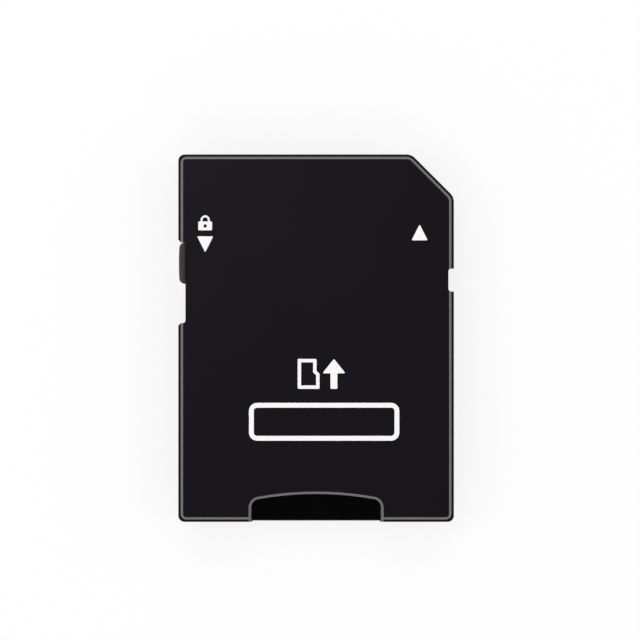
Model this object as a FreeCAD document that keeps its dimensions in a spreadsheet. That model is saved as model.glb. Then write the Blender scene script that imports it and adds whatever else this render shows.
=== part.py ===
"""Full-size memory card adapter that takes a small memory card.

It lies label side up: X across the width, Y towards the leading end that carries the contacts, Z up from
the contact side at z = 0 to the label face. The origin is under the middle of the card. Lengths are
millimetres.
"""
import FreeCAD, Part
import math
import os
import re
import Sketcher

# Driving dimensions: alias, value, meaning
SIZES = [
    ("card_thickness", 2.1, "overall thickness"),
    ("rail_thickness", 1.4, "thickness of the edge rails, down from the label face"),
    ("rail_width", 0.75, "width of the step that leaves the rails beside the raised back"),
    ("corner_cut", 3.7, "legs of the cut corner"),
    ("edge_corner_radius", 0.55, "radius of the three square corners of the outline"),
    ("edge_cut_radius", 1.04, "radius at both ends of the cut corner of the outline"),
    ("face_corner_radius", 0.27, "radius of the three square corners of the label face"),
    ("face_cut_radius", 0.6, "radius at both ends of the cut corner of the label face"),
    ("front_cover_edge", 0.7, "edge height of the front cover"),
    ("rim_ledge", 0.22, "width of the flat ledge round the label panel"),
    ("rim_riser", 0.05, "upright step between that ledge and the bevel"),
    ("rim_bevel", 0.22, "bevel of the label panel and of the thumb recess"),
    ("edge_softening", 0.08, "rounding of the outer moulded edges"),
    ("seam_chamfer", 0.04, "chamfer of both covers along their seam"),
    ("lead_in", 0.3, "bevel under the leading end"),
    ("recess_margin", 0.1, "thumb recess wider than the slot, each side"),
    ("recess_length", 2.45, "thumb recess from the tail to the top of its arch"),
    ("recess_arch_radius", 28.5, "radius of the arch of the thumb recess"),
    ("recess_corner_radius", 0.75, "corner radius of the thumb recess"),
    ("small_card_width", 11.0, "small card: width"),
    ("small_card_length", 15.0, "small card: length"),
    ("small_card_thickness", 0.7, "small card: thickness"),
    ("small_card_tip_width", 9.7, "small card: width of its narrow leading part"),
    ("small_card_tip_length", 6.3, "small card: length of its narrow leading part"),
    ("slot_side_play", 0.1, "slot wider than the small card"),
    ("slot_height_play", 0.12, "slot higher than the small card"),
    ("slot_end_play", 0.1, "slot longer than the small card"),
    ("roof_relief", 0.17, "slot roof above the seam of the covers"),
    ("mouth_bevel", 0.06, "bevel of the slot floor at its mouth"),
    ("slot_wall", 0.6, "walls between the slot and the side hollows"),
    ("side_wall", 1.3, "walls of the rear cover along the sides and the tail"),
    ("hollow_length", 13.3, "length of the side hollows"),
    ("hollow_radius", 0.5, "corner radius of the side hollows"),
    ("sheet_thickness", 0.15, "contact sheet"),
    ("contact_pitch", 2.5, "pitch of contacts 9 and 1 to 6"),
    ("contact_seven_step", 2.425, "contact 6 to contact 7"),
    ("contact_eight_step", 1.7, "contact 7 to contact 8"),
    ("ninth_margin", 2.0, "middle of contact 9 to the side beside it"),
    ("eighth_margin", 2.875, "middle of contact 8 to the side beside it"),
    ("window_rib", 0.8, "ribs between the windows of contacts 9 and 1 to 6"),
    ("narrow_rib", 0.45, "rib between the narrower windows of contacts 7 and 8"),
    ("window_length", 5.1, "windows 1 to 8, from the leading end"),
    ("ninth_window_length", 6.7, "window 9, from the leading end"),
    ("pad_overlap", 0.12, "pads wider than their windows, each side"),
    ("pad_tail", 0.3, "pads reaching past the inner end of their windows"),
    ("pad_end_play", 0.05, "pads short of the leading lip"),
    ("lip", 0.7, "lip over the windows at the leading end and the cut corner"),
    ("bay_margin", 0.05, "contact bay past the seat of contact 9"),
    ("bay_play", 0.05, "backing block smaller than the contact bay"),
    ("seat_play", 0.03, "contact seats wider than the contacts, each side"),
    ("beam_width", 0.6, "width of the contact beams and fingers"),
    ("beam_run", 1.1, "straight run of each beam behind its pad"),
    ("fan_length", 5.9, "length over which the beams of contacts 1 to 8 draw together"),
    ("beam_lead", 0.6, "straight run of each beam before the carrier"),
    ("bridge_width", 0.5, "width of the ground bridge"),
    ("bridge_rise", 0.15, "ground bridge above the beams that it crosses"),
    ("small_pitch", 1.1, "pitch of the spring fingers"),
    ("small_row_offset", 0.65, "row of fingers off the middle, away from the stepped side"),
    ("finger_reach", 2.0, "touching point of the fingers, from the end of the slot"),
    ("finger_rise", 0.35, "touching point of the fingers, above the slot floor"),
    ("finger_nose", 0.65, "turned-down nose of the fingers"),
    ("finger_drop", 0.22, "drop of the nose below the touching point"),
    ("finger_bend", 0.5, "bend radius on top of the fingers"),
    ("finger_clearance", 0.1, "carrier above the fingers at the end of the slot"),
    ("spring_depth", 0.4, "room for the fingers below the slot floor"),
    ("spring_play", 0.25, "room round the fingers"),
    ("carrier_clamp", 2.0, "length of the carrier that clamps the beams"),
    ("carrier_overhang", 1.9, "length of the carrier over the finger roots"),
    ("carrier_margin", 0.9, "carrier past the outer fingers"),
    ("carrier_play", 0.05, "carrier narrower than its bay, each end"),
    ("peg_radius", 0.25, "carrier pegs: radius"),
    ("peg_height", 0.3, "carrier pegs: height"),
    ("peg_inset", 0.5, "carrier pegs: in from the ends of the carrier"),
    ("peg_play", 0.03, "carrier peg holes: play all round"),
    ("lock_window_start", 7.65, "lock window, from the leading end"),
    ("lock_window_length", 7.04, "lock window: length"),
    ("lock_window_depth", 0.65, "lock window: depth"),
    ("lock_window_chamfer", 0.22, "lock window: chamfers where it opens at the card edge"),
    ("lock_lip", 0.35, "wall between the lock window and the slider channel"),
    ("tab_length", 3.59, "slider tab: length"),
    ("tab_thickness", 1.1, "slider tab: thickness"),
    ("tab_inset", 0.03, "slider tab: behind the card edge"),
    ("tab_end_gap", 0.03, "slider tab: to the end of the window that it rests at"),
    ("tab_radius", 0.48, "slider tab: corner radius in plan"),
    ("tab_crown", 0.08, "slider tab: ends of its outer face behind the middle"),
    ("tab_softening", 0.12, "slider tab: rounding of its outer edges"),
    ("neck_length", 2.5, "slider neck: length"),
    ("neck_thickness", 0.42, "slider neck: thickness"),
    ("flange_width", 0.45, "slider flange: width"),
    ("flange_thickness", 0.8, "slider flange: thickness"),
    ("slide_play", 0.05, "running clearance of the slider"),
    ("notch_start", 9.94, "side notch, from the leading end"),
    ("notch_length", 2.0, "side notch: length"),
    ("notch_depth", 0.5, "side notch: depth"),
    ("notch_radius", 0.25, "inner corner radius of the side notch and of the lock window's free end"),
    ("leaf_thickness", 0.12, "card retainer: sheet thickness"),
    ("leaf_play", 0.05, "card retainer: play below and above"),
    ("leaf_foot", 0.6, "card retainer: feet on the pocket wall"),
    ("leaf_arm", 1.6, "card retainer: sloping arms"),
    ("leaf_pocket", 0.6, "card retainer: depth of its pocket behind the slot wall"),
    ("leaf_stand", 0.08, "card retainer: roots of the nub behind the slot wall"),
    ("nub_half_length", 0.65, "card retainer: half the length of its nub"),
    ("nub_rise", 0.35, "card retainer: nub into the slot"),
    ("nub_bend", 0.15, "card retainer: bend radius inside the nub"),
    ("nub_distance", 0.75, "card retainer: nub from the foot of the slot's step"),
    ("post_radius", 0.4, "cover posts: radius"),
    ("post_height", 0.5, "cover posts: height"),
    ("post_play", 0.04, "cover posts: play in their sockets"),
    ("post_boss_radius", 0.9, "sockets: outer radius"),
    ("post_side_inset", 3.3, "cover posts: in from the sides"),
    ("post_tail_inset", 2.6, "rear pair of posts, from the tail"),
    ("post_spacing", 10.6, "rear pair to front pair of posts"),
]

doc = FreeCAD.newDocument("memory_card_adapter")
sheet = doc.addObject("Spreadsheet::Sheet", "Sizes")
for row, (alias, value, meaning) in enumerate(SIZES, start=1):
    sheet.set(f"A{row}", meaning)
    sheet.set(f"B{row}", str(value))
    sheet.setAlias(f"B{row}", alias)
doc.recompute()

ALIASES = {alias for alias, value, meaning in SIZES}
SOLIDS = []
SAME_PLACE = 1e-4
POINT = {name: number for number, name in enumerate(("edge", "start", "end", "middle"))}
ORIGIN = (-1, POINT["start"])


def bound(formula):
    """Write a formula of sheet aliases as an expression of the document."""
    def cell(match):
        word = match.group(0)
        return f"Sizes.{word}" if word in ALIASES else word
    return re.sub(r"[a-z_]+", cell, formula)


def worth(formula):
    """Give the present value of a formula of sheet aliases."""
    return float(sheet.evalExpression(bound(formula)))


def new_body(name):
    """Start a sub-part."""
    body = doc.addObject("PartDesign::Body", name)
    body.Label = name
    SOLIDS.append(body)
    return body


def corner_steps(corners):
    """Replace each corner that has a radius by the two ends of its arc.

    A corner is (x, y) or (x, y, radius), all formulas. A step is (x, y, radius of the arc that ends there
    or None, direction from the arc's ends to its bulge).
    """
    places = [FreeCAD.Vector(worth(corner[0]), worth(corner[1])) for corner in corners]
    steps = []
    for index, corner in enumerate(corners):
        x, y = corner[:2]
        if len(corner) == 2:
            steps.append((x, y, None, None))
            continue
        radius = corner[2]
        back = (places[index - 1] - places[index]).normalize()
        onward = (places[(index + 1) % len(places)] - places[index]).normalize()
        reach = 1 / math.tan(back.getAngle(onward) / 2)
        for way, arc, bulge in ((back, None, None), (onward, radius, -(back + onward))):
            step_x = f"({x}) + ({radius}) * {way.x * reach:.9f}"
            step_y = f"({y}) + ({radius}) * {way.y * reach:.9f}"
            steps.append((step_x, step_y, arc, bulge))
    return steps


def arc_between(start, finish, radius, bulge):
    """Make the minor arc of a radius between two points, on the side that bulge points to."""
    middle = (start + finish) / 2
    half_chord = (finish - start).Length / 2
    height = radius - math.sqrt(max(radius ** 2 - half_chord ** 2, 0.0))
    across = FreeCAD.Vector(start.y - finish.y, finish.x - start.x).normalize()
    if across.dot(bulge) < 0:
        across = -across
    return Part.Arc(start, middle + across * height, finish)


def add_loop(sketch, steps):
    """Draw one closed loop in a sketch and give the rules that bind its points and radii to the sheet."""
    points = [FreeCAD.Vector(worth(step[0]), worth(step[1])) for step in steps]
    starts = []
    ends = []
    rules = []
    for index, (x, y, radius, bulge) in enumerate(steps):
        start = points[index - 1]
        finish = points[index]
        if radius is None:
            line = sketch.addGeometry(Part.LineSegment(start, finish))
            starts.append((line, POINT["start"]))
            ends.append((line, POINT["end"]))
            continue
        arc = sketch.addGeometry(arc_between(start, finish, worth(radius), bulge))
        near, far = POINT["start"], POINT["end"]
        if (sketch.getPoint(arc, far) - start).Length < (sketch.getPoint(arc, near) - start).Length:
            near, far = far, near
        starts.append((arc, near))
        ends.append((arc, far))
        rules.append((("Radius", arc), radius))
    for index, (x, y, radius, bulge) in enumerate(steps):
        following = starts[(index + 1) % len(steps)]
        rules.append((("Coincident", *ends[index], *following), None))
        rules.append((("DistanceX", *ORIGIN, *ends[index]), x))
        rules.append((("DistanceY", *ORIGIN, *ends[index]), y))
    return rules


def constrain(sketch, rules):
    """Add constraints to a sketch, each given as its terms and the formula of its value, if it has one."""
    constraints = []
    for terms, formula in rules:
        values = () if formula is None else (worth(formula),)
        constraints.append(Sketcher.Constraint(*terms, *values))
    numbers = sketch.addConstraint(constraints)
    for number, (terms, formula) in zip(numbers, rules):
        if formula is not None:
            sketch.setExpression(f"Constraints[{number}]", bound(formula))


def new_sketch(body, name, plane, offset):
    """Place an empty sketch on an origin plane of a body, moved along the plane's normal."""
    sketch = body.newObject("Sketcher::SketchObject", name)
    support = [item for item in body.Origin.OriginFeatures if item.Role == plane]
    sketch.AttachmentSupport = [(support[0], "")]
    sketch.MapMode = "FlatFace"
    sketch.setExpression("AttachmentOffset.Base.z", bound(offset))
    return sketch


def loops_sketch(body, name, plane, offset, loops):
    """Sketch closed loops of corners."""
    sketch = new_sketch(body, name, plane, offset)
    rules = []
    for corners in loops:
        rules += add_loop(sketch, corner_steps(corners))
    constrain(sketch, rules)
    return sketch


def circles_sketch(body, name, offset, places, radius):
    """Sketch equal circles on the XY plane."""
    sketch = new_sketch(body, name, "XY_Plane", offset)
    rules = []
    for x, y in places:
        middle = FreeCAD.Vector(worth(x), worth(y))
        circle = sketch.addGeometry(Part.Circle(middle, FreeCAD.Vector(0, 0, 1), worth(radius)))
        rules.append((("Radius", circle), radius))
        rules.append((("DistanceX", *ORIGIN, circle, POINT["middle"]), x))
        rules.append((("DistanceY", *ORIGIN, circle, POINT["middle"]), y))
    constrain(sketch, rules)
    return sketch


def extrude(kind, sketch, length, against, symmetric):
    """Add a Pad or Pocket made from a sketch to the sketch's body."""
    feature = sketch.getParent().newObject(f"PartDesign::{kind}", f"{sketch.Name}_{kind.lower()}")
    feature.Profile = sketch
    feature.setExpression("Length", bound(length))
    feature.Reversed = against
    if symmetric:
        feature.SideType = "Symmetric"
    doc.recompute()
    return feature


def pad(sketch, length, symmetric=False):
    """Raise a sketch along its normal."""
    return extrude("Pad", sketch, length, False, symmetric)


def pocket(sketch, length, upward=False, symmetric=False):
    """Cut a sketch into its body, down from the sketch or upward, and test that it does cut."""
    before = sketch.getParent().Shape.Volume
    feature = extrude("Pocket", sketch, length, upward, symmetric)
    if not feature.Shape.Volume < before:
        raise RuntimeError(f"{feature.Name} cuts nothing")
    return feature


def dress(kind, feature, formula, chosen):
    """Add a Fillet or Chamfer of a size on the edges of a feature that a test chooses."""
    body = feature.getParent()
    edges = [f"Edge{number}" for number, edge in enumerate(feature.Shape.Edges, start=1) if chosen(edge)]
    dressing = body.newObject(f"PartDesign::{kind}", f"{feature.Name}_{kind.lower()}")
    dressing.Base = (feature, edges)
    dressing.setExpression("Radius" if kind == "Fillet" else "Size", bound(formula))
    doc.recompute()
    return dressing


def level(height):
    """Choose the edges that lie flat at a height."""
    place = worth(height)

    def chosen(edge):
        box = edge.BoundBox
        return abs(box.ZMin - place) < SAME_PLACE and abs(box.ZMax - place) < SAME_PLACE
    return chosen


def upright(x, y):
    """Choose the upright edges at the places (x, y) and (-x, y)."""
    place_x = worth(x)
    place_y = worth(y)

    def chosen(edge):
        box = edge.BoundBox
        straight_up = box.ZLength > SAME_PLACE and max(box.XLength, box.YLength) < SAME_PLACE
        here = abs(abs(box.Center.x) - place_x) < SAME_PLACE and abs(box.Center.y - place_y) < SAME_PLACE
        return straight_up and here
    return chosen


def rectangle(left, right, low, high):
    """Give the corners of an upright rectangle."""
    return [(left, low), (right, low), (right, high), (left, high)]


# Contacts: 9 is beside the cut corner, then 1 to 8 towards the lock, and 3 is bridged to 6 inside
CONTACTS = range(1, 10)
WIDE_CONTACTS = [CONTACTS[-1], *CONTACTS[:6]]
NARROW_CONTACTS = [*CONTACTS[6:8]]
GROUND_BRIDGE = [CONTACTS[2], CONTACTS[5]]
FINGER_ORDER = [number for number in WIDE_CONTACTS + NARROW_CONTACTS if number != GROUND_BRIDGE[0]]
MIDDLE_FINGER = (len(FINGER_ORDER) - 1) / 2
SEAT_GROUP = 3

# Overall width and length: what the card holds side by side and end to end
wide_row = f"{len(WIDE_CONTACTS) - 1} * contact_pitch"
card_width = f"(ninth_margin + {wide_row} + contact_seven_step + contact_eight_step + eighth_margin)"
slot_length = "(small_card_length + slot_end_play)"
beam_length = "(carrier_overhang + carrier_clamp + beam_lead + fan_length + beam_run)"
card_length = f"({slot_length} + {beam_length} + pad_tail + window_length)"
side = f"({card_width} / 2)"
end = f"({card_length} / 2)"

# Levels and places that several pieces share
contact_plane = "(card_thickness - rail_thickness)"
parting = "(card_thickness - front_cover_edge)"
bed = f"({contact_plane} + sheet_thickness)"
ledge = "(card_thickness - rim_bevel - rim_riser)"
slot_top = f"({parting} + roof_relief)"
slot_floor = f"({slot_top} - small_card_thickness - slot_height_play)"
slot_half = "((small_card_width + slot_side_play) / 2)"
slot_end = f"({slot_length} - {end})"
slot_tip_right = f"(small_card_tip_width + slot_side_play - {slot_half})"
slot_step = f"({slot_end} - small_card_tip_length)"
slot_step_foot = f"({slot_step} - {slot_half} + {slot_tip_right})"
clamp_start = f"({slot_end} + carrier_overhang)"
carrier_back = f"({clamp_start} + carrier_clamp)"
beams_together = f"({carrier_back} + beam_lead)"
row_half = f"({MIDDLE_FINGER} * small_pitch + beam_width / 2)"
carrier_left = f"(-small_row_offset - {row_half} - carrier_margin)"
carrier_right = f"(-small_row_offset + {row_half} + carrier_margin)"
finger_peak = f"({slot_floor} + finger_rise)"


def cut_line(inset):
    """Give x + y along the cut corner, moved in square to it."""
    return f"({side} + {end} - corner_cut - sqrt(2) * ({inset}))"


def card_outline(inset_sides, inset_ends, corner="edge_corner_radius", cut_end="edge_cut_radius"):
    """Give the corners of the card's outline, moved in at the sides and the cut corner, and at the ends.

    corner and cut_end are the radii of the square corners and of the ends of the cut corner.
    """
    right = f"{side} - {inset_sides}"
    top = f"{end} - {inset_ends}"
    cut = cut_line(inset_sides)
    return [
        (f"-({right})", f"-({top})", corner),
        (right, f"-({top})", corner),
        (right, f"{cut} - ({right})", cut_end),
        (f"{cut} - ({top})", top, cut_end),
        (f"-({right})", top, corner),
    ]


def slot_outline(side_room):
    """Give the corners of the small card's slot, from outside the tail to its stepped inner end.

    side_room is what the slot's right side opens into on the way, if anything.
    """
    mouth = f"-{end} - recess_length"
    return [
        (f"-{slot_half}", mouth),
        (slot_half, mouth),
        *side_room,
        (slot_half, slot_step_foot),
        (slot_tip_right, slot_step),
        (slot_tip_right, slot_end),
        (f"-{slot_half}", slot_end),
    ]


def contact_x(number):
    """Give the place of a contact pad across the card."""
    if number in WIDE_CONTACTS:
        return f"({side} - ninth_margin - {WIDE_CONTACTS.index(number)} * contact_pitch)"
    seventh = f"{side} - ninth_margin - {wide_row} - contact_seven_step"
    return f"({seventh})" if number == 7 else f"({seventh} - contact_eight_step)"


def finger_x(number):
    """Give the place of a contact's spring finger across the card."""
    return f"-small_row_offset + {MIDDLE_FINGER - FINGER_ORDER.index(number)} * small_pitch"


def window_half(number):
    """Give half the width of a contact's window."""
    if number in NARROW_CONTACTS:
        return "((contact_eight_step - narrow_rib) / 2)"
    return "((contact_pitch - window_rib) / 2)"


def pad_half(number):
    """Give half the width of a contact's pad."""
    return f"({window_half(number)} + pad_overlap)"


def window_inner(number):
    """Give the inner end of a contact's window."""
    length = "ninth_window_length" if number == 9 else "window_length"
    return f"({end} - {length})"


def pad_front(number):
    """Give the front end of a contact's pad, behind the lip of the leading end or of the cut corner."""
    if number == 9:
        outer = f"({contact_x(9)} + {pad_half(9)} + seat_play)"
        return f"({cut_line('lip')} - {outer} - pad_end_play)"
    return f"({end} - lip - pad_end_play)"


def pad_end(number):
    """Give the inner end of a contact's pad."""
    return f"({window_inner(number)} - pad_tail)"


def beam_run_end(number):
    """Give the place along the card where a contact's beam leaves its straight run."""
    return f"({pad_end(number)} - beam_run)"


def bay_outline(play):
    """Give the corners of the bay over the contact pads, made smaller by a play."""
    half = f"({contact_x(9)} + {pad_half(9)} + seat_play + bay_margin - {play})"
    top = f"({end} - lip - {play})"
    cut = cut_line(f"lip + {play}")
    return [
        (half, f"{cut} - {half}"),
        (f"{cut} - {top}", top),
        (f"-{half}", top),
    ]


def contact_outline(number, play):
    """Give the corners of a contact's flat part, or of its seat when play is more than 0."""
    x = contact_x(number)
    half = f"({pad_half(number)} + {play})"
    beam_half = f"(beam_width / 2 + {play})"
    front = f"{pad_front(number)} + {play}"
    run_end = beam_run_end(number)
    pad_back = f"{pad_end(number)} - {play}"
    head = [
        (f"{x} - {beam_half}", pad_back),
        (f"{x} - {half}", pad_back),
        (f"{x} - {half}", front),
        (f"{x} + {half}", front),
        (f"{x} + {half}", pad_back),
        (f"{x} + {beam_half}", pad_back),
    ]
    if number == GROUND_BRIDGE[0]:
        tail_end = f"{run_end} - {play}"
        return head + [(f"{x} + {beam_half}", tail_end), (f"{x} - {beam_half}", tail_end)]
    small_x = finger_x(number)
    return head + [
        (f"{x} + {beam_half}", run_end),
        (f"{small_x} + {beam_half}", beams_together),
        (f"{small_x} + {beam_half}", clamp_start),
        (f"{small_x} - {beam_half}", clamp_start),
        (f"{small_x} - {beam_half}", beams_together),
        (f"{x} - {beam_half}", run_end),
    ]


def finger_profile():
    """Give the corners of a spring finger, seen along X: root, rise to the touching point, nose."""
    peak_y = f"({slot_end} - finger_reach)"
    nose_y = f"({peak_y} - finger_nose)"
    nose_z = f"({finger_peak} - finger_drop)"
    return [
        (clamp_start, contact_plane),
        (clamp_start, bed),
        (peak_y, finger_peak, "finger_bend"),
        (nose_y, nose_z),
        (nose_y, f"{nose_z} - sheet_thickness"),
        (peak_y, f"{finger_peak} - sheet_thickness", "finger_bend - sheet_thickness"),
    ]


def make_contact(number):
    """Build a stamped contact: flat pad and beam, then its spring finger or its bridge."""
    name = f"contact_{number}"
    body = new_body(name)
    blank = loops_sketch(body, f"{name}_blank", "XY_Plane", contact_plane, [contact_outline(number, "0")])
    pad(blank, "sheet_thickness")
    if number != GROUND_BRIDGE[0]:
        finger = loops_sketch(body, f"{name}_finger", "YZ_Plane", finger_x(number), [finger_profile()])
        pad(finger, "beam_width", symmetric=True)
        return
    tail = beam_run_end(number)
    bridge_top = f"({bed} + bridge_rise + sheet_thickness)"
    leg = f"{contact_x(number)} - beam_width / 2"
    foot = f"{contact_x(GROUND_BRIDGE[1])} - beam_width / 2"
    back = f"{tail} + bridge_width"
    rising = rectangle(leg, f"{leg} + sheet_thickness", tail, back)
    pad(loops_sketch(body, f"{name}_leg", "XY_Plane", bed, [rising]), f"{bridge_top} - {bed}")
    across = rectangle(foot, leg, tail, back)
    arm = loops_sketch(body, f"{name}_arm", "XY_Plane", f"{bed} + bridge_rise", [across])
    pad(arm, "sheet_thickness")
    falling = rectangle(foot, f"{foot} + sheet_thickness", tail, back)
    pad(loops_sketch(body, f"{name}_foot", "XY_Plane", bed, [falling]), "bridge_rise")


# Lock slider: places shared by the slider and the covers that hold it
window_top = f"({end} - lock_window_start)"
window_low = f"({window_top} - lock_window_length)"
window_wall = f"(-{side} + lock_window_depth)"
channel_outer = f"({window_wall} + lock_lip)"
channel_inner = f"({channel_outer} + flange_width + 2 * slide_play)"
tab_top = f"({window_top} - tab_end_gap)"
tab_low = f"({tab_top} - tab_length)"
corner_rise = "(notch_radius - sqrt(notch_radius ^ 2 - (notch_radius - slide_play) ^ 2))"
lock_travel = f"(lock_window_length - tab_length - tab_end_gap - {corner_rise} - 2 * slide_play)"
neck_top = f"({tab_top} - (tab_length - neck_length) / 2)"
neck_low = f"({neck_top} - neck_length)"


def lock_channel():
    """Give the corners of the slider's channel in plan."""
    low = f"{tab_low} - {lock_travel} - slide_play"
    return rectangle(channel_outer, channel_inner, low, f"{tab_top} + slide_play")


def lock_neck_slot():
    """Give the corners of the slot for the slider's neck in plan."""
    low = f"{neck_low} - {lock_travel} - slide_play"
    return rectangle(f"{window_wall} - slide_play", channel_inner, low, f"{neck_top} + slide_play")


def edge_cuts():
    """Give the lock window and the side notch, both open at the card's edge."""
    notch_top = f"({end} - notch_start)"
    notch_low = f"({notch_top} - notch_length)"
    outside = f"-{side} - lock_window_depth"
    chamfer_foot = f"-{side} + lock_window_chamfer"
    flare = "(lock_window_chamfer + lock_window_depth)"
    window = [
        (outside, f"{window_low} - {flare}"),
        (chamfer_foot, window_low),
        (window_wall, window_low, "notch_radius"),
        (window_wall, window_top, "slide_play"),
        (chamfer_foot, window_top),
        (outside, f"{window_top} + {flare}"),
    ]
    notch = [
        (f"{side} + notch_depth", notch_low),
        (f"{side} - notch_depth", notch_low, "notch_radius"),
        (f"{side} - notch_depth", notch_top, "notch_radius"),
        (f"{side} + notch_depth", notch_top),
    ]
    return [window, notch]


# Card retainer: places shared by the leaf and its pocket
nub_y = f"({slot_step_foot} - nub_distance)"
leaf_half = "(nub_half_length + leaf_arm + leaf_foot)"
leaf_wall = f"({slot_half} + leaf_pocket)"


def post_places():
    """Give the places of the four posts that line up the covers."""
    x = f"({side} - post_side_inset)"
    low = f"(-{end} + post_tail_inset)"
    high = f"({low} + post_spacing)"
    return [(f"-{x}", low), (x, low), (x, high), (f"-{x}", high)]


def make_front_cover():
    """Build the label-side cover: edge plate, raised label panel, thumb recess, posts and inner faces."""
    body = new_body("front_cover")
    plate = loops_sketch(body, "edge_plate", "XY_Plane", parting, [card_outline("0", "0")])
    edge = pad(plate, f"{ledge} - {parting}")
    seam = dress("Chamfer", edge, "seam_chamfer", level(parting))
    dress("Fillet", seam, "edge_softening", level(ledge))
    bevelled_radii = ("face_corner_radius + rim_bevel", "face_cut_radius + rim_bevel")
    inset = card_outline("rim_ledge", "rim_ledge", *bevelled_radii)
    pad(loops_sketch(body, "label_panel", "XY_Plane", ledge, [inset]), "rim_bevel + rim_riser")

    half = f"({slot_half} + recess_margin)"
    arch_drop = f"(recess_arch_radius - sqrt(recess_arch_radius ^ 2 - {half} ^ 2))"
    shoulder = f"(-{end} + recess_length - {arch_drop})"
    outside = f"-{end} - recess_length"
    recess = new_sketch(body, "thumb_recess", "XY_Plane", parting)
    constrain(recess, add_loop(recess, [
        (f"-{half}", outside, None, None),
        (half, outside, None, None),
        (half, shoulder, None, None),
        (f"-{half}", shoulder, "recess_arch_radius", FreeCAD.Vector(0, 1)),
    ]))
    cut = pocket(recess, "front_cover_edge", upward=True)
    rounded = dress("Fillet", cut, "recess_corner_radius", upright(half, shoulder))
    dress("Chamfer", rounded, "rim_bevel", level("card_thickness"))
    bevel_foot = f"{ledge} - rim_bevel"
    lead_ins = []
    for sign in ("", "-"):
        wall = f"{sign}{half}"
        lead_ins.append([(wall, bevel_foot), (wall, ledge), (f"{sign}({half} + rim_bevel)", ledge)])
    tail_bevel = loops_sketch(body, "recess_lead_in", "XZ_Plane", f"{end} - rim_ledge", lead_ins)
    pocket(tail_bevel, "rim_ledge", upward=True)

    openings = loops_sketch(body, "edge_cuts", "XY_Plane", parting, edge_cuts())
    pocket(openings, "front_cover_edge", upward=True)
    roof = loops_sketch(body, "slot_roof", "XY_Plane", parting, [slot_outline([])])
    pocket(roof, "roof_relief", upward=True)
    channel = loops_sketch(body, "channel_roof", "XY_Plane", parting, [lock_channel()])
    pocket(channel, "flange_thickness / 2 + slide_play", upward=True)
    neck = loops_sketch(body, "neck_roof", "XY_Plane", parting, [lock_neck_slot()])
    pocket(neck, "neck_thickness / 2 + slide_play", upward=True)

    block_low = f"({pad_end(1)} + bay_play)"
    ninth_low = f"({pad_end(9)} + bay_play)"
    between = f"({contact_x(1)} + {contact_x(9)}) / 2"
    block = bay_outline("bay_play")
    block += [
        (block[2][0], block_low),
        (between, block_low),
        (between, ninth_low),
        (block[0][0], ninth_low),
    ]
    pad(loops_sketch(body, "contact_backing", "XY_Plane", bed, [block]), f"{parting} - {bed}")
    posts = circles_sketch(body, "posts", f"{parting} - post_height", post_places(), "post_radius")
    pad(posts, "post_height")


def peg_places():
    """Give the places of the two carrier pegs."""
    y = f"({clamp_start} + carrier_clamp / 2)"
    return [(f"{carrier_left} + peg_inset", y), (f"{carrier_right} - peg_inset", y)]


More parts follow.
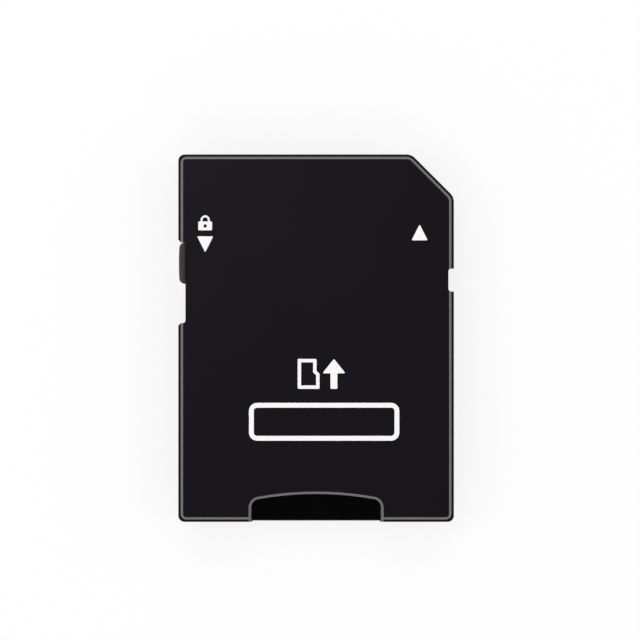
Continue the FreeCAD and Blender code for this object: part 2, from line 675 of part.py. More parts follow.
def make_rear_cover():
    """Build the contact-side cover: rails, raised back, windows, seats, slot, hollows and sockets."""
    body = new_body("rear_cover")
    rails = loops_sketch(body, "rails", "XY_Plane", contact_plane, [card_outline("0", "0")])
    edge = pad(rails, f"{parting} - {contact_plane}")
    seam = dress("Chamfer", edge, "seam_chamfer", level(parting))
    dress("Fillet", seam, "edge_softening", level(contact_plane))
    raised = loops_sketch(body, "raised_back", "XY_Plane", "0", [card_outline("rail_width", "0")])
    back = pad(raised, f"{contact_plane} + edge_softening")
    dress("Fillet", back, "edge_softening", level("0"))
    nose = [(f"{end} - lead_in", "0"), (end, "0"), (end, "lead_in")]
    pocket(loops_sketch(body, "leading_bevel", "YZ_Plane", "0", [nose]), card_width, symmetric=True)

    pocket(loops_sketch(body, "edge_openings", "XY_Plane", parting, edge_cuts()), parting)
    channel = loops_sketch(body, "channel_floor", "XY_Plane", parting, [lock_channel()])
    pocket(channel, "flange_thickness / 2 + slide_play")
    neck = loops_sketch(body, "neck_floor", "XY_Plane", parting, [lock_neck_slot()])
    pocket(neck, "neck_thickness / 2 + slide_play")

    low = f"-{end} + side_wall"
    high = f"{low} + hollow_length"
    left_hollow = rectangle(f"-{side} + side_wall", f"-{slot_half} - slot_wall", low, high)
    right_hollow = rectangle(f"{leaf_wall} + slot_wall", f"{side} - side_wall", low, high)
    rooms = [[(x, y, "hollow_radius") for x, y in corners] for corners in (left_hollow, right_hollow)]
    leaf_room = rectangle(
        slot_half,
        leaf_wall,
        f"{nub_y} - {leaf_half} - leaf_play",
        f"{nub_y} + {leaf_half} + leaf_play",
    )
    rooms.append(slot_outline(leaf_room))
    depth = f"{parting} - {slot_floor}"
    pocket(loops_sketch(body, "slot_and_hollows", "XY_Plane", parting, rooms), depth)
    mouth = [
        (f"-{end}", f"{slot_floor} - mouth_bevel"),
        (f"-{end} + mouth_bevel", slot_floor),
        (f"-{end}", slot_floor),
    ]
    pocket(loops_sketch(body, "slot_mouth", "YZ_Plane", "0", [mouth]), f"2 * {slot_half}", symmetric=True)
    pad(circles_sketch(body, "bosses", slot_floor, post_places(), "post_boss_radius"), depth)
    sockets = circles_sketch(body, "sockets", parting, post_places(), "post_radius + post_play")
    pocket(sockets, "post_height + post_play")

    bay = bay_outline("0")
    bay += [
        (bay[2][0], beam_run_end(8)),
        (carrier_left, beams_together),
        (carrier_left, slot_end),
        (carrier_right, slot_end),
        (carrier_right, beams_together),
        (bay[0][0], beam_run_end(9)),
    ]
    pocket(loops_sketch(body, "contact_bay", "XY_Plane", parting, [bay]), f"{parting} - {bed}")
    peg_holes = circles_sketch(body, "peg_holes", bed, peg_places(), "peg_radius + peg_play")
    pocket(peg_holes, "peg_height + peg_play")
    springs = rectangle(
        f"-small_row_offset - {row_half} - spring_play",
        f"-small_row_offset + {row_half} + spring_play",
        f"{slot_end} - finger_reach - finger_nose - spring_play",
        clamp_start,
    )
    pocket(loops_sketch(body, "spring_pocket", "XY_Plane", parting, [springs]), f"{depth} + spring_depth")
    windows = []
    for number in CONTACTS:
        x = contact_x(number)
        half = window_half(number)
        windows.append(rectangle(f"{x} - {half}", f"{x} + {half}", window_inner(number), f"{end} + lip"))
    pocket(loops_sketch(body, "contact_windows", "XY_Plane", "0", windows), contact_plane, upward=True)
    for first in CONTACTS[::SEAT_GROUP]:
        seats = [contact_outline(number, "seat_play") for number in range(first, first + SEAT_GROUP)]
        pocket(loops_sketch(body, f"contact_seats_{first}", "XY_Plane", bed, seats), "sheet_thickness")


def make_terminal_carrier():
    """Build the insulating bar that clamps the beams, overhangs the fingers and stops the small card."""
    body = new_body("terminal_carrier")
    finger_slope = f"({finger_peak} - {bed}) / (carrier_overhang + finger_reach)"
    underside = f"({bed} + {finger_slope} * carrier_overhang + finger_clearance)"
    profile = [
        (slot_end, underside),
        (clamp_start, underside),
        (clamp_start, bed),
        (carrier_back, bed),
        (carrier_back, parting),
        (slot_end, parting),
    ]
    bar = loops_sketch(body, "carrier_bar", "YZ_Plane", "-small_row_offset", [profile])
    pad(bar, f"{carrier_right} - {carrier_left} - 2 * carrier_play", symmetric=True)
    pegs = circles_sketch(body, "carrier_pegs", f"{bed} - peg_height", peg_places(), "peg_radius")
    pad(pegs, "peg_height")


def make_lock_slider():
    """Build the lock slider: tab in the window, neck through the wall, flange in the channel."""
    body = new_body("lock_slider")
    inner = f"({window_wall} - slide_play)"
    outer = f"(-{side} + tab_inset)"
    outer_end = f"({outer} + tab_crown)"
    corner = f"min(tab_radius; {inner} - {outer_end})"
    crown = "(tab_length / 2) ^ 2 / (2 * tab_crown)"
    tab_bottom = f"{parting} - tab_thickness / 2"
    outline = [
        (inner, tab_low),
        (inner, tab_top),
        (outer_end, tab_top, corner),
        (outer, f"{tab_low} + tab_length / 2", crown),
        (outer_end, tab_low, corner),
    ]
    tab = pad(loops_sketch(body, "tab", "XY_Plane", tab_bottom, [outline]), "tab_thickness")
    faces = (level(tab_bottom), level(f"{tab_bottom} + tab_thickness"))
    inner_face = worth(inner)

    def on_outside(edge):
        return any(face(edge) for face in faces) and edge.BoundBox.XMin < inner_face - SAME_PLACE
    dress("Fillet", tab, "tab_softening", on_outside)
    flange_outer = f"({channel_outer} + slide_play)"
    neck = rectangle(inner, flange_outer, neck_low, neck_top)
    pad(loops_sketch(body, "neck", "XY_Plane", f"{parting} - neck_thickness / 2", [neck]), "neck_thickness")
    flange = rectangle(flange_outer, f"{flange_outer} + flange_width", tab_low, tab_top)
    rail = loops_sketch(body, "flange", "XY_Plane", f"{parting} - flange_thickness / 2", [flange])
    pad(rail, "flange_thickness")


def make_card_retainer():
    """Build the bowed leaf, seen in plan: a foot and an arm at each end of the nub."""
    body = new_body("card_retainer")
    foot_x = f"({leaf_wall} - leaf_thickness)"
    root_x = f"({slot_half} + leaf_stand)"
    slot_face = [
        (foot_x, f"-{leaf_half}"),
        (foot_x, "-(nub_half_length + leaf_arm)"),
        (root_x, "-nub_half_length"),
        (f"({slot_half} - nub_rise)", "0", "nub_bend + leaf_thickness"),
        (root_x, "nub_half_length"),
        (foot_x, "nub_half_length + leaf_arm"),
        (foot_x, leaf_half),
    ]
    strip = [(x, f"{nub_y} + ({y})", *bend) for x, y, *bend in slot_face]
    for x, y, *bend in strip[::-1]:
        strip.append((f"{x} + leaf_thickness", y, *["nub_bend" for outside in bend]))
    leaf = loops_sketch(body, "leaf", "XY_Plane", f"{slot_floor} + leaf_play", [strip])
    pad(leaf, f"{parting} - {slot_floor} - 2 * leaf_play")


make_front_cover()
make_rear_cover()
make_terminal_carrier()
for contact_number in CONTACTS:
    make_contact(contact_number)
make_card_retainer()
make_lock_slider()

doc.recompute()
for item in doc.Objects:
    if "Invalid" in item.State or "Error" in item.State:
        raise RuntimeError(f"{item.Name} failed")
os.makedirs("parts", exist_ok=True)
for body in SOLIDS:
    if body.Shape.isNull() or not body.Shape.isValid():
        raise RuntimeError(f"{body.Label} has no valid shape")
for body in SOLIDS:
    body.Shape.exportStep(f"parts/{body.Label}.step")
    print(body.Label, round(body.Shape.Volume, 4), len(body.Shape.Solids))
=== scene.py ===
"""Looks of a full-size memory card adapter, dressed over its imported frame.

It lies label side up on a white table: X across, Y towards the contact end, Z up. Sizes are millimetres
until they reach Blender, which works in metres.
"""
import bmesh
import bpy
import math
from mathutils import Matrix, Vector


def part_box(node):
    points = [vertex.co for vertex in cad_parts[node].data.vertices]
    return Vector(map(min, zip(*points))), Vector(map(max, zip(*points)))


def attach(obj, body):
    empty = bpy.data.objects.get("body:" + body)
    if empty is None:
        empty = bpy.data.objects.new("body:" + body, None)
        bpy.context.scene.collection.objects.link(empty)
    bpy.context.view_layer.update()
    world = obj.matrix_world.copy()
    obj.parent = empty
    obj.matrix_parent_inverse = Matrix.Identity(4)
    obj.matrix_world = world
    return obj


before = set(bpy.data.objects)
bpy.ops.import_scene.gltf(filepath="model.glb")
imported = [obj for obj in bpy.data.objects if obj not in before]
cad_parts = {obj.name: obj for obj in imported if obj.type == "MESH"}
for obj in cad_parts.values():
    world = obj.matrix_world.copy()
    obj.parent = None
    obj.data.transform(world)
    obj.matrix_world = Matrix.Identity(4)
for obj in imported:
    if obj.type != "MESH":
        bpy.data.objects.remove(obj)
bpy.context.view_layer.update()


# Rear cover
# The contact-side half of the casing, injection moulded in black ABS and welded to the front cover.
# Its outside is formed by a spark-eroded mould, and the slot and bays inside by a polished core. The
# inside faces are painted near black, a painted shade for the slot and bays.
MM = 0.001
INSIDE_FACING_UP = 0.5
ABS_IOR = 1.53

# Noise runs from 0 to 1 but seldom leaves this span, so roughness is spread over it
NOISE_SPAN = {"From Min": 0.3, "From Max": 0.7}


def linear(code):
    """Turn an sRGB hex colour into linear RGBA."""
    channels = [int(code[place:place + 2], 16) / 255 for place in (1, 3, 5)]
    return (*[c / 12.92 if c <= 0.04045 else ((c + 0.055) / 1.055) ** 2.4 for c in channels], 1.0)


def add_node(tree, kind, inputs=None, **settings):
    """Add a shader node with its settings, and set or link its input sockets."""
    node = tree.nodes.new(kind)
    for name, value in settings.items():
        setattr(node, name, value)
    for name, value in (inputs or {}).items():
        if isinstance(value, bpy.types.NodeSocket):
            tree.links.new(value, node.inputs[name])
        else:
            node.inputs[name].default_value = value
    return node


def new_tree(name):
    """Start a material with an empty node tree and the object's own coordinates."""
    material = bpy.data.materials.new(name)
    material.use_nodes = True
    material.node_tree.nodes.clear()
    place = add_node(material.node_tree, "ShaderNodeTexCoord").outputs["Object"]
    return material, material.node_tree, place


# Black ABS off a spark-eroded mould: an even satin black whose fine pits break up every reflection.
# Real pits are about 0.05 mm wide and are drawn at 0.16 mm, so that they show at all.
PIT_WIDTH, PIT_DEPTH = 0.16, 0.003
FLOW_PATCH = 7.0
spark_eroded_abs, tree, place = new_tree("ABS_black_spark_eroded")
pits = add_node(tree, "ShaderNodeTexNoise", {
    "Vector": place, "Scale": 1 / (PIT_WIDTH * MM), "Detail": 3.0})
flow = add_node(tree, "ShaderNodeTexNoise", {
    "Vector": place, "Scale": 1 / (FLOW_PATCH * MM), "Detail": 2.0})
colour = add_node(tree, "ShaderNodeMixRGB", {
    "Fac": flow.outputs["Fac"], "Color1": linear("#110e15"), "Color2": linear("#151219")})
roughness = add_node(tree, "ShaderNodeMapRange", {
    "Value": pits.outputs["Fac"], **NOISE_SPAN, "To Min": 0.31, "To Max": 0.39})
bump = add_node(tree, "ShaderNodeBump", {
    "Height": pits.outputs["Fac"], "Strength": 0.2, "Distance": PIT_DEPTH * MM})
shader = add_node(tree, "ShaderNodeBsdfPrincipled", {
    "Base Color": colour.outputs["Color"], "Roughness": roughness.outputs["Result"],
    "Normal": bump.outputs["Normal"], "IOR": ABS_IOR})
add_node(tree, "ShaderNodeOutputMaterial", {"Surface": shader.outputs["BSDF"]})

# The same ABS off a polished core: glossier, with faint flow marks along the card, and painted near black
# as a painted shade inside the casing.
MARK_WIDTH, MARK_LENGTH, MARK_DEPTH = 0.8, 6.0, 0.01
polished_abs_painted_shade, tree, place = new_tree("ABS_black_polished_painted_shade")
stretched = add_node(tree, "ShaderNodeMapping", {
    "Vector": place, "Scale": [1 / (size * MM) for size in (MARK_WIDTH, MARK_LENGTH, MARK_WIDTH)]})
marks = add_node(tree, "ShaderNodeTexNoise", {
    "Vector": stretched.outputs["Vector"], "Scale": 1.0, "Detail": 3.0})
colour = add_node(tree, "ShaderNodeMixRGB", {
    "Fac": marks.outputs["Fac"], "Color1": linear("#020203"), "Color2": linear("#060607")})
roughness = add_node(tree, "ShaderNodeMapRange", {
    "Value": marks.outputs["Fac"], **NOISE_SPAN, "To Min": 0.12, "To Max": 0.2})
bump = add_node(tree, "ShaderNodeBump", {
    "Height": marks.outputs["Fac"], "Strength": 0.1, "Distance": MARK_DEPTH * MM})
shader = add_node(tree, "ShaderNodeBsdfPrincipled", {
    "Base Color": colour.outputs["Color"], "Roughness": roughness.outputs["Result"],
    "Normal": bump.outputs["Normal"], "IOR": ABS_IOR})
add_node(tree, "ShaderNodeOutputMaterial", {"Surface": shader.outputs["BSDF"]})


def dress(node_name, *materials):
    """Give a CAD node its materials and return its mesh."""
    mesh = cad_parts[node_name].data
    mesh.materials.clear()
    for material in materials:
        mesh.materials.append(material)
    return mesh


rear_mesh = dress("rear_cover", spark_eroded_abs, polished_abs_painted_shade)
# Faces that face up lie inside the casing, and take the polished black with its painted shade.
for face in rear_mesh.polygons:
    face.material_index = 1 if face.normal.z > INSIDE_FACING_UP else 0


# Contacts
# Nine terminals stamped from thin phosphor bronze strip and flashed with gold, laid in seats of the rear
# cover. Their pads show in the windows and their spring fingers stand up in the slot.

# Gold flash over rolled strip: a warm bright metal with fine rolling lines along the strip and a little
# dulling where it has been handled. Real rolling lines are about 0.01 mm apart and are drawn at 0.06 mm.
ROLL_LINE, ROLL_LENGTH, ROLL_DEPTH = 0.06, 2.5, 0.004
DULL_PATCH = 1.8
gold_plate, tree, place = new_tree("Gold_plated_bronze")
stretched = add_node(tree, "ShaderNodeMapping", {
    "Vector": place, "Scale": [1 / (size * MM) for size in (ROLL_LINE, ROLL_LENGTH, ROLL_LINE)]})
lines = add_node(tree, "ShaderNodeTexNoise", {
    "Vector": stretched.outputs["Vector"], "Scale": 1.0, "Detail": 2.0})
dulling = add_node(tree, "ShaderNodeTexNoise", {
    "Vector": place, "Scale": 1 / (DULL_PATCH * MM), "Detail": 4.0})
colour = add_node(tree, "ShaderNodeMixRGB", {
    "Fac": dulling.outputs["Fac"], "Color1": linear("#ecca80"), "Color2": linear("#d5a65a")})
roughness = add_node(tree, "ShaderNodeMapRange", {
    "Value": dulling.outputs["Fac"], **NOISE_SPAN, "To Min": 0.2, "To Max": 0.34})
bump = add_node(tree, "ShaderNodeBump", {
    "Height": lines.outputs["Fac"], "Strength": 0.15, "Distance": ROLL_DEPTH * MM})
shader = add_node(tree, "ShaderNodeBsdfPrincipled", {
    "Base Color": colour.outputs["Color"], "Metallic": 1.0, "Roughness": roughness.outputs["Result"],
    "Normal": bump.outputs["Normal"]})
add_node(tree, "ShaderNodeOutputMaterial", {"Surface": shader.outputs["BSDF"]})
for node_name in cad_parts:
    if node_name.startswith("contact_"):
        dress(node_name, gold_plate)


# Terminal carrier
# A bar of glass-filled liquid crystal polymer that clamps the contacts and insulates them from each
# other. Two pegs hold it in the rear cover, and its front face stops the small card.

# Glass-filled polymer: a dull black with paler streaks where the fibres follow the flow along the bar.
# Real fibres are about 0.01 mm thick and are drawn as streaks 0.15 mm wide.
STREAK_WIDTH, STREAK_LENGTH, STREAK_DEPTH = 0.15, 2.0, 0.01
glass_filled_polymer, tree, place = new_tree("LCP_black_glass_filled")
stretched = add_node(tree, "ShaderNodeMapping", {
    "Vector": place, "Scale": [1 / (size * MM) for size in (STREAK_LENGTH, STREAK_WIDTH, STREAK_WIDTH)]})
fibres = add_node(tree, "ShaderNodeTexNoise", {
    "Vector": stretched.outputs["Vector"], "Scale": 1.0, "Detail": 4.0})
colour = add_node(tree, "ShaderNodeMixRGB", {
    "Fac": fibres.outputs["Fac"], "Color1": linear("#131315"), "Color2": linear("#2a2a2d")})
roughness = add_node(tree, "ShaderNodeMapRange", {
    "Value": fibres.outputs["Fac"], **NOISE_SPAN, "To Min": 0.45, "To Max": 0.62})
bump = add_node(tree, "ShaderNodeBump", {
    "Height": fibres.outputs["Fac"], "Strength": 0.2, "Distance": STREAK_DEPTH * MM})
shader = add_node(tree, "ShaderNodeBsdfPrincipled", {
    "Base Color": colour.outputs["Color"], "Roughness": roughness.outputs["Result"],
    "Normal": bump.outputs["Normal"], "IOR": 1.6})
add_node(tree, "ShaderNodeOutputMaterial", {"Surface": shader.outputs["BSDF"]})
dress("terminal_carrier", glass_filled_polymer)


# Card retainer
# A bowed leaf of stainless spring strip, sprung into a pocket beside the slot. Its nub catches the notch
# in the small card's side.

# Cold-rolled stainless: grey and fairly bright, with rolling lines along the strip, drawn at 0.05 mm.
LEAF_LINE, LEAF_LINE_LENGTH, LEAF_LINE_DEPTH = 0.05, 2.0, 0.003
spring_steel, tree, place = new_tree("Stainless_spring_strip")
stretched = add_node(tree, "ShaderNodeMapping", {
    "Vector": place, "Scale": [1 / (size * MM) for size in (LEAF_LINE, LEAF_LINE_LENGTH, LEAF_LINE)]})
lines = add_node(tree, "ShaderNodeTexNoise", {
    "Vector": stretched.outputs["Vector"], "Scale": 1.0, "Detail": 2.0})
colour = add_node(tree, "ShaderNodeMixRGB", {
    "Fac": lines.outputs["Fac"], "Color1": linear("#a9a8a5"), "Color2": linear("#c6c5c2")})
roughness = add_node(tree, "ShaderNodeMapRange", {
    "Value": lines.outputs["Fac"], **NOISE_SPAN, "To Min": 0.24, "To Max": 0.38})
bump = add_node(tree, "ShaderNodeBump", {
    "Height": lines.outputs["Fac"], "Strength": 0.15, "Distance": LEAF_LINE_DEPTH * MM})
shader = add_node(tree, "ShaderNodeBsdfPrincipled", {
    "Base Color": colour.outputs["Color"], "Metallic": 1.0, "Roughness": roughness.outputs["Result"],
    "Normal": bump.outputs["Normal"]})
add_node(tree, "ShaderNodeOutputMaterial", {"Surface": shader.outputs["BSDF"]})
dress("card_retainer", spring_steel)


# Lock slider
# The write-lock tab at the left edge, moulded in dark warm grey acetal. Its neck runs in a slot between
# the two covers, and a flange behind the wall keeps it in.

# Acetal: waxy and a little translucent to the eye, so it reads softer and paler than the casing. Its mould
# grain is about 0.05 mm wide and is drawn at 0.14 mm.
GRAIN_WIDTH, GRAIN_DEPTH = 0.14, 0.006
MOTTLE_PATCH = 1.2
acetal, tree, place = new_tree("Acetal_warm_grey")
grain = add_node(tree, "ShaderNodeTexNoise", {
    "Vector": place, "Scale": 1 / (GRAIN_WIDTH * MM), "Detail": 3.0})
mottle = add_node(tree, "ShaderNodeTexNoise", {
    "Vector": place, "Scale": 1 / (MOTTLE_PATCH * MM), "Detail": 2.0})
colour = add_node(tree, "ShaderNodeMixRGB", {
    "Fac": mottle.outputs["Fac"], "Color1": linear("#3e393a"), "Color2": linear("#494445")})
roughness = add_node(tree, "ShaderNodeMapRange", {
    "Value": grain.outputs["Fac"], **NOISE_SPAN, "To Min": 0.34, "To Max": 0.46})
bump = add_node(tree, "ShaderNodeBump", {
    "Height": grain.outputs["Fac"], "Strength": 0.2, "Distance": GRAIN_DEPTH * MM})
shader = add_node(tree, "ShaderNodeBsdfPrincipled", {
    "Base Color": colour.outputs["Color"], "Roughness": roughness.outputs["Result"],
    "Normal": bump.outputs["Normal"], "IOR": 1.48})
add_node(tree, "ShaderNodeOutputMaterial", {"Surface": shader.outputs["BSDF"]})
dress("lock_slider", acetal)


# Front cover
# The label-side half of the casing, moulded in the same black ABS. A bevel runs round its raised panel and
# round the thumb recess, and it is painted a paler grey than the face: a painted highlight of the bevel
# catching the light.
BEVEL_SLOPE = math.sqrt(0.5)
BEVEL_SLOPE_PLAY = 0.1
LEDGE_HEIGHT = 1.83
RECESS_HALF = 5.9

# Bevel ABS: a satin grey line painted paler than the face as a painted highlight. Fine noise a few tenths
# of a millimetre long runs through its colour, roughness and bump.
BEVEL_NOISE_LENGTH, BEVEL_NOISE_DEPTH = 0.3, 0.006
bevel_painted_highlight, tree, place = new_tree("ABS_black_bevel_painted_highlight")
bevel_noise = add_node(tree, "ShaderNodeTexNoise", {
    "Vector": place, "Scale": 1 / (BEVEL_NOISE_LENGTH * MM), "Detail": 4.0})
colour = add_node(tree, "ShaderNodeMixRGB", {
    "Fac": bevel_noise.outputs["Fac"], "Color1": linear("#4f4d52"), "Color2": linear("#5d5b60")})
roughness = add_node(tree, "ShaderNodeMapRange", {
    "Value": bevel_noise.outputs["Fac"], **NOISE_SPAN, "To Min": 0.3, "To Max": 0.42})
bump = add_node(tree, "ShaderNodeBump", {
    "Height": bevel_noise.outputs["Fac"], "Strength": 0.15, "Distance": BEVEL_NOISE_DEPTH * MM})
shader = add_node(tree, "ShaderNodeBsdfPrincipled", {
    "Base Color": colour.outputs["Color"], "Roughness": roughness.outputs["Result"],
    "Normal": bump.outputs["Normal"], "IOR": ABS_IOR})
add_node(tree, "ShaderNodeOutputMaterial", {"Surface": shader.outputs["BSDF"]})

# Sloping faces of the bevel get the grey of the painted highlight. Above the ledge only the bevel slopes
# like this. Beside the recess it runs on down past the ledge.
front_mesh = dress("front_cover", spark_eroded_abs, bevel_painted_highlight)
for face in front_mesh.polygons:
    x, y, z = face.center / MM
    sloped = abs(face.normal.z - BEVEL_SLOPE) < BEVEL_SLOPE_PLAY
    beside_recess = abs(x) < RECESS_HALF and y < 0
    face.material_index = 1 if sloped and (z > LEDGE_HEIGHT or beside_recess) else 0


# Print on the label face
# White two-part ink, pad printed on the front cover after moulding: a lock sign and an arrow beside the
# slider, an arrow at the contact end, a sign for putting in the small card, and an empty name field.
FACE_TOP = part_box("front_cover")[1].z / MM
INK_KEYED_IN = 0.004
INK_FILM = 0.012
CORNER_STEPS = 6

# Pad-printing ink: an opaque white, matt, with the slight orange peel of a film that dried thin.
PEEL_PATCH, PEEL_DEPTH = 0.2, 0.004
pad_ink, tree, place = new_tree("Epoxy_ink_white")
peel = add_node(tree, "ShaderNodeTexNoise", {
    "Vector": place, "Scale": 1 / (PEEL_PATCH * MM), "Detail": 2.0})
colour = add_node(tree, "ShaderNodeMixRGB", {
    "Fac": peel.outputs["Fac"], "Color1": linear("#f6f6f6"), "Color2": linear("#fdfdfd")})
roughness = add_node(tree, "ShaderNodeMapRange", {
    "Value": peel.outputs["Fac"], **NOISE_SPAN, "To Min": 0.45, "To Max": 0.6})
bump = add_node(tree, "ShaderNodeBump", {
    "Height": peel.outputs["Fac"], "Strength": 0.1, "Distance": PEEL_DEPTH * MM})
shader = add_node(tree, "ShaderNodeBsdfPrincipled", {
    "Base Color": colour.outputs["Color"], "Roughness": roughness.outputs["Result"],
    "Normal": bump.outputs["Normal"], "IOR": 1.5})
add_node(tree, "ShaderNodeOutputMaterial", {"Surface": shader.outputs["BSDF"]})


def rounded(points, radius):
    """Round the corners of an outline."""
    outline = []
    for index, point in enumerate(points):
        corner = Vector(point)
        back = (Vector(points[index - 1]) - corner).normalized()
        onward = (Vector(points[(index + 1) % len(points)]) - corner).normalized()
        half_angle = back.angle(onward) / 2
        reach = radius / math.tan(half_angle)
        centre = corner + (back + onward).normalized() * radius / math.sin(half_angle)
        start = corner + back * reach - centre
        finish = corner + onward * reach - centre
        for step in range(CORNER_STEPS + 1):
            outline.append(centre + start.slerp(finish, step / CORNER_STEPS) * radius)
    return outline


def inset(points, distance):
    """Move the sides of an outline that runs anticlockwise inwards."""
    moved = []
    for index, point in enumerate(points):
        before = (Vector(point) - Vector(points[index - 1])).normalized()
        after = (Vector(points[(index + 1) % len(points)]) - Vector(point)).normalized()
        inward = Vector((-before.y - after.y, before.x + after.x)).normalized()
        moved.append(Vector(point) + inward * distance / inward.dot(Vector((-before.y, before.x))))
    return moved


def printed(name, *outlines):
    """Lay a film of ink on the label face inside outlines. An outline inside another leaves a hole."""
    film = bmesh.new()
    edges = []
    for outline in outlines:
        ring = [film.verts.new((x * MM, y * MM, (FACE_TOP - INK_KEYED_IN) * MM)) for x, y in outline]
        edges += [film.edges.new((ring[index - 1], ring[index])) for index in range(len(ring))]
    bmesh.ops.triangle_fill(film, edges=edges, use_beauty=True)
    raised = bmesh.ops.extrude_face_region(film, geom=film.faces[:])["geom"]
    top = [item for item in raised if isinstance(item, bmesh.types.BMVert)]
    bmesh.ops.translate(film, vec=(0, 0, (INK_KEYED_IN + INK_FILM) * MM), verts=top)
    bmesh.ops.recalc_face_normals(film, faces=film.faces)
    mesh = bpy.data.meshes.new(name)
    film.to_mesh(mesh)
    film.free()
    mesh.materials.append(pad_ink)
    piece = bpy.data.objects.new(name, mesh)
    bpy.context.scene.collection.objects.link(piece)
    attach(piece, "adapter")


# Arrows: the lock's points down, away from the contact end, and the other points at the contacts
ARROW_HALF, ARROW_LENGTH, ARROW_RADIUS = 0.705, 1.39, 0.06
ARROWS = {
    "lock_arrow": (-9.635, 8.85, -ARROW_LENGTH),
    "contact_arrow": (8.995, 8.5, ARROW_LENGTH),
}
for name, (x, base, length) in ARROWS.items():
    corners = [(x - ARROW_HALF, base), (x, base + length), (x + ARROW_HALF, base)]
    printed(name, rounded(corners, ARROW_RADIUS))

# Lock sign: a closed padlock over the lock's arrow
LOCK_X, LOCK_LOW, LOCK_TOP = ARROWS["lock_arrow"][0], 9.37, 10.14
LOCK_HALF, LOCK_RADIUS = 0.6, 0.1
SHACKLE_OUTER, SHACKLE_INNER, SHACKLE_MIDDLE = 0.4, 0.23, 10.27
SHACKLE_STEPS = 16
KEYHOLE_RADIUS, KEYHOLE_STEPS = 0.15, 16


def shackle(radius):
    """Give one side of the padlock's shackle, from its right foot over to its left one."""
    arch = []
    for step in range(SHACKLE_STEPS + 1):
        angle = math.pi * step / SHACKLE_STEPS
        arch.append((LOCK_X + radius * math.cos(angle), SHACKLE_MIDDLE + radius * math.sin(angle)))
    return [(LOCK_X + radius, LOCK_TOP), *arch, (LOCK_X - radius, LOCK_TOP)]


lock_left, lock_right = LOCK_X - LOCK_HALF, LOCK_X + LOCK_HALF
lock_body = [(lock_left, LOCK_LOW), (lock_right, LOCK_LOW), (lock_right, LOCK_TOP), (lock_left, LOCK_TOP)]
lock_body = rounded(lock_body, LOCK_RADIUS)
# The shackle's feet come in after the body's third corner, the top right one
after_top_right = 3 * (CORNER_STEPS + 1)
padlock = lock_body[:after_top_right] + shackle(SHACKLE_OUTER) + lock_body[after_top_right:]
keyhole = []
for step in range(KEYHOLE_STEPS):
    angle = 2 * math.pi * step / KEYHOLE_STEPS
    keyhole.append((LOCK_X + KEYHOLE_RADIUS * math.cos(angle),
                    (LOCK_LOW + LOCK_TOP) / 2 + KEYHOLE_RADIUS * math.sin(angle)))
printed("lock_sign", padlock, shackle(SHACKLE_INNER), keyhole)

# Insert sign: the small card's outline, and an arrow that shows the way into the slot
SIGN_LOW, SIGN_TOP = -4.4, -1.8
CARD_LEFT, CARD_RIGHT, CARD_STEP, CARD_RADIUS = -1.6, 0.3, 0.26, 0.1
CARD_WIDE_LENGTH = 1.3
STEP_LOW = SIGN_LOW + CARD_WIDE_LENGTH
SIGN_STROKE, STROKE_RADIUS = 0.3, 0.02
WAY_X, STEM_HALF, HEAD_HALF, HEAD_LOW = 1.55, 0.3, 1.0, -3.05
small_card = [
    (CARD_LEFT, SIGN_LOW),
    (CARD_RIGHT, SIGN_LOW),
    (CARD_RIGHT, STEP_LOW),
    (CARD_RIGHT - CARD_STEP, STEP_LOW + CARD_STEP),
    (CARD_RIGHT - CARD_STEP, SIGN_TOP),
    (CARD_LEFT, SIGN_TOP),
]
card_inside = inset(small_card, SIGN_STROKE)
way_in = [
    (WAY_X - STEM_HALF, SIGN_LOW),
    (WAY_X + STEM_HALF, SIGN_LOW),
    (WAY_X + STEM_HALF, HEAD_LOW),
    (WAY_X + HEAD_HALF, HEAD_LOW),
    (WAY_X, SIGN_TOP),
    (WAY_X - HEAD_HALF, HEAD_LOW),
    (WAY_X - STEM_HALF, HEAD_LOW),
]
printed("insert_sign", rounded(small_card, CARD_RADIUS), rounded(card_inside, STROKE_RADIUS),
        rounded(way_in, ARROW_RADIUS))

# Name field: an empty frame to write in
NAME_LEFT, NAME_RIGHT, NAME_LOW, NAME_TOP = -5.83, 7.23, -8.905, -5.615
NAME_RADIUS, NAME_STROKE = 0.7, 0.42
name_edge = [(NAME_LEFT, NAME_LOW), (NAME_RIGHT, NAME_LOW), (NAME_RIGHT, NAME_TOP), (NAME_LEFT, NAME_TOP)]
name_inside = rounded(inset(name_edge, NAME_STROKE), NAME_RADIUS - NAME_STROKE)
printed("name_field", rounded(name_edge, NAME_RADIUS), name_inside)


# Table
# A sheet of matt white card under the adapter, wide enough to fill every view. Its top lies a hair below
# the adapter's back, so that the two faces don't coincide.
TABLE_SIZE = 4000.0
TABLE_TOP = -0.02

# White card: its own shading carries the soft shadow, and plain white is mixed in where it is looked at
# directly or mirrored. Beyond the lamps' reach it is all plain white.
FIBRE_PATCH = 0.8
PLAIN_SHARE = 0.8
LAMPLIT_RADIUS, PLAIN_RADIUS = 100.0, 400.0
white_card, tree, place = new_tree("White_card")
fibre = add_node(tree, "ShaderNodeTexNoise", {
    "Vector": place, "Scale": 1 / (FIBRE_PATCH * MM), "Detail": 3.0})
colour = add_node(tree, "ShaderNodeMixRGB", {
    "Fac": fibre.outputs["Fac"], "Color1": linear("#f8f8f8"), "Color2": linear("#fbfbfb")})
matt = add_node(tree, "ShaderNodeBsdfDiffuse", {"Color": colour.outputs["Color"]})
plain = add_node(tree, "ShaderNodeEmission", {"Color": linear("#ffffff"), "Strength": 1.0})
path = add_node(tree, "ShaderNodeLightPath")
seen = add_node(tree, "ShaderNodeMath", {
    0: path.outputs["Is Camera Ray"], 1: path.outputs["Is Glossy Ray"]}, operation="MAXIMUM")
seen = add_node(tree, "ShaderNodeMath", {
    0: seen.outputs["Value"], 1: path.outputs["Is Transmission Ray"]}, operation="MAXIMUM")
radius = add_node(tree, "ShaderNodeVectorMath", {0: place}, operation="LENGTH")
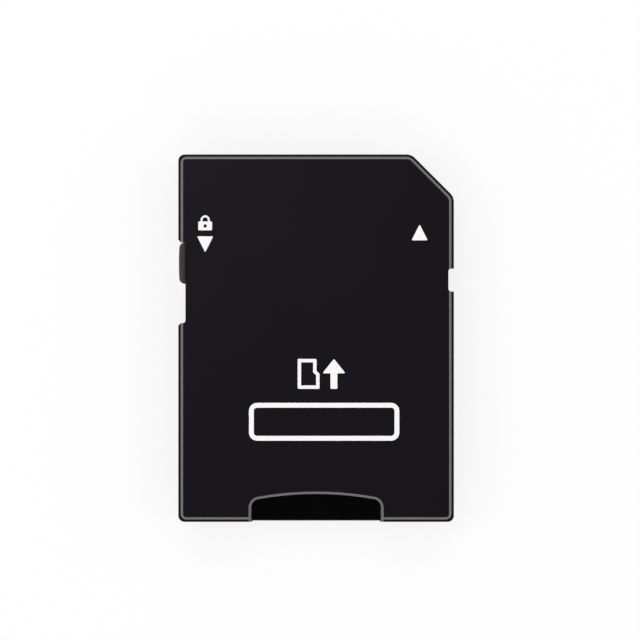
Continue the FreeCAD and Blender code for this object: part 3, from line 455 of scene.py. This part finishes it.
whiteness = add_node(tree, "ShaderNodeMapRange", {
    "Value": radius.outputs["Value"], "From Min": LAMPLIT_RADIUS * MM, "From Max": PLAIN_RADIUS * MM,
    "To Min": PLAIN_SHARE, "To Max": 1.0})
share = add_node(tree, "ShaderNodeMath", {
    0: seen.outputs["Value"], 1: whiteness.outputs["Result"]}, operation="MULTIPLY")
surface = add_node(tree, "ShaderNodeMixShader", {
    "Fac": share.outputs["Value"], 1: matt.outputs["BSDF"], 2: plain.outputs["Emission"]})
add_node(tree, "ShaderNodeOutputMaterial", {"Surface": surface.outputs["Shader"]})

table_mesh = bpy.data.meshes.new("table")
half = TABLE_SIZE / 2 * MM
table_corners = [(-half, -half), (half, -half), (half, half), (-half, half)]
table_mesh.from_pydata([(x, y, TABLE_TOP * MM) for x, y in table_corners], [], [(0, 1, 2, 3)])
table_mesh.materials.append(white_card)
table = bpy.data.objects.new("table", table_mesh)
bpy.context.scene.collection.objects.link(table)


# Studio
# Four strip boxes low round the card, left out of mirror images so that the satin black stays black, and a
# soft box high at the upper left. The room is white at the horizon, for the bevels, and dim overhead.
STRIP_DISTANCE, STRIP_HEIGHT = 400.0, 150.0
STRIP_SIZE, STRIP_WATTS = (500.0, 180.0), 1.14
STRIP_SIDES = {"left_strip": (-1, 0), "right_strip": (1, 0), "far_strip": (0, 1), "near_strip": (0, -1)}
HIGH_BOX_PLACE = (-200.0, 180.0, 330.0)
HIGH_BOX_SIZE, HIGH_BOX_WATTS = (260.0, 260.0), 0.28
WALL_FADE_LOW, WALL_FADE_HIGH = 0.2, 0.6
WALL_LIGHT, CEILING_LIGHT = 1.0, 0.03


def softbox(name, place, size, watts, mirrored):
    """Hang a rectangular soft light that faces the card, and say whether gloss mirrors it."""
    data = bpy.data.lights.new(name, "AREA")
    data.shape = "RECTANGLE"
    data.size, data.size_y = (length * MM for length in size)
    data.energy = watts
    lamp = bpy.data.objects.new(name, data)
    lamp.location = Vector(place) * MM
    lamp.rotation_euler = (-lamp.location).to_track_quat("-Z", "Y").to_euler()
    lamp.visible_camera = False
    lamp.visible_glossy = mirrored
    bpy.context.scene.collection.objects.link(lamp)


for name, (x, y) in STRIP_SIDES.items():
    strip_place = (x * STRIP_DISTANCE, y * STRIP_DISTANCE, STRIP_HEIGHT)
    softbox(name, strip_place, STRIP_SIZE, STRIP_WATTS, mirrored=False)
softbox("high_box", HIGH_BOX_PLACE, HIGH_BOX_SIZE, HIGH_BOX_WATTS, mirrored=True)

room = bpy.data.worlds.new("room")
bpy.context.scene.world = room
room.use_nodes = True
tree = room.node_tree
tree.nodes.clear()
direction = add_node(tree, "ShaderNodeTexCoord").outputs["Generated"]
height = add_node(tree, "ShaderNodeSeparateXYZ", {"Vector": direction})
walls = add_node(tree, "ShaderNodeMapRange", {
    "Value": height.outputs["Z"], "From Min": WALL_FADE_LOW, "From Max": WALL_FADE_HIGH,
    "To Min": WALL_LIGHT, "To Max": CEILING_LIGHT})
sky = add_node(tree, "ShaderNodeBackground", {
    "Color": linear("#ffffff"), "Strength": walls.outputs["Result"]})
add_node(tree, "ShaderNodeOutputWorld", {"Surface": sky.outputs["Background"]})


# Camera
# A long lens straight above the card, with the contact end at the top of the picture.
VIEW_WIDTH = 55.6
VIEW_MIDDLE = (0.34, 1.58)
LENS = 100.0
NEAREST_SEEN = 1.0
camera_data = bpy.data.cameras.new("camera")
camera_data.lens = LENS
camera_data.clip_start = NEAREST_SEEN * MM
distance = VIEW_WIDTH * LENS / camera_data.sensor_width
camera = bpy.data.objects.new("camera", camera_data)
camera.location = Vector((*VIEW_MIDDLE, FACE_TOP + distance)) * MM
bpy.context.scene.collection.objects.link(camera)
bpy.context.scene.camera = camera
bpy.context.scene.view_settings.view_transform = "Standard"
